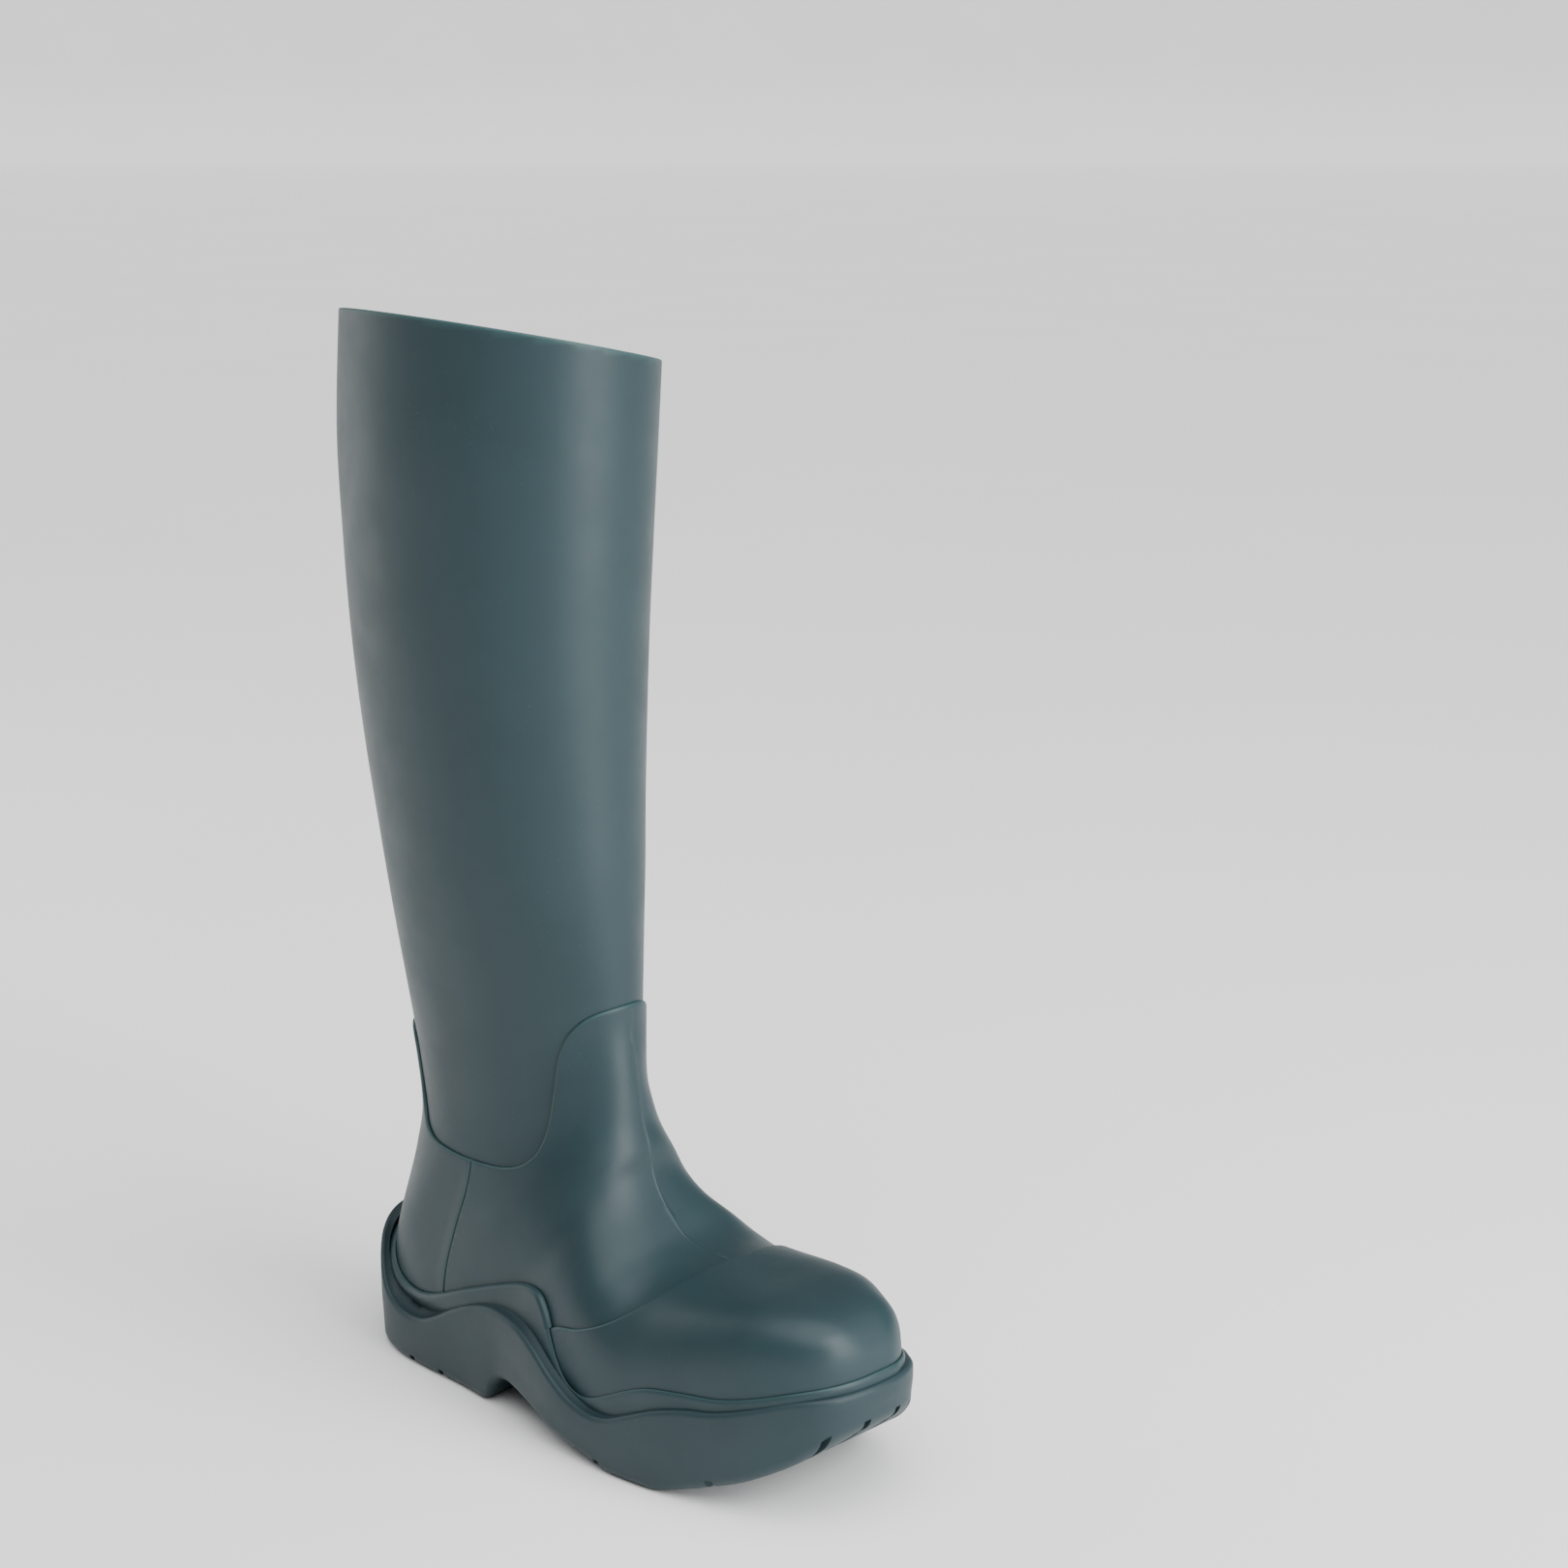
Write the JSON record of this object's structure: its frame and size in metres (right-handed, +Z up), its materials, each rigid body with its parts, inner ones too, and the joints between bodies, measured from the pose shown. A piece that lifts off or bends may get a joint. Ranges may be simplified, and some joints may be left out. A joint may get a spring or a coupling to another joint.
{
  "type": "rubber rain boot",
  "caption": "Knee-high rubber rain boot for the right foot: lapped rubber sheets, toe cap, wavy rand, cup outsole, knit lining and foam footbed.",
  "frame": {"origin": "bottom centre of the bounding box, on the ground the boot stands on", "axes": "+X to the toe, +Y to the medial side, +Z up the leg"},
  "size_m": [0.2956, 0.125, 0.4711],
  "materials": {
    "upper_rubber": "satin, dark teal grey",
    "sole_rubber": "satin, dark teal grey, slightly duller",
    "knit_lining": "fine ribbed knit, near black",
    "foam": "matte foam rubber",
    "board": "matte fibre board",
    "spring_steel": "plain strip"
  },
  "bodies": {
    "root": {"outsole": "sole_rubber", "rand": "upper_rubber", "toe_cap": "upper_rubber", "vamp": "upper_rubber", "heel_quarter": "upper_rubber", "leg_shaft": "upper_rubber", "leg_lining": "knit_lining", "foot_lining": "knit_lining", "footbed_cover": "knit_lining", "footbed": "foam", "midsole_filler": "foam", "insole_board": "board", "toe_puff": "board", "heel_counter": "board", "shank": "spring_steel"}
  },
  "joints": []
}
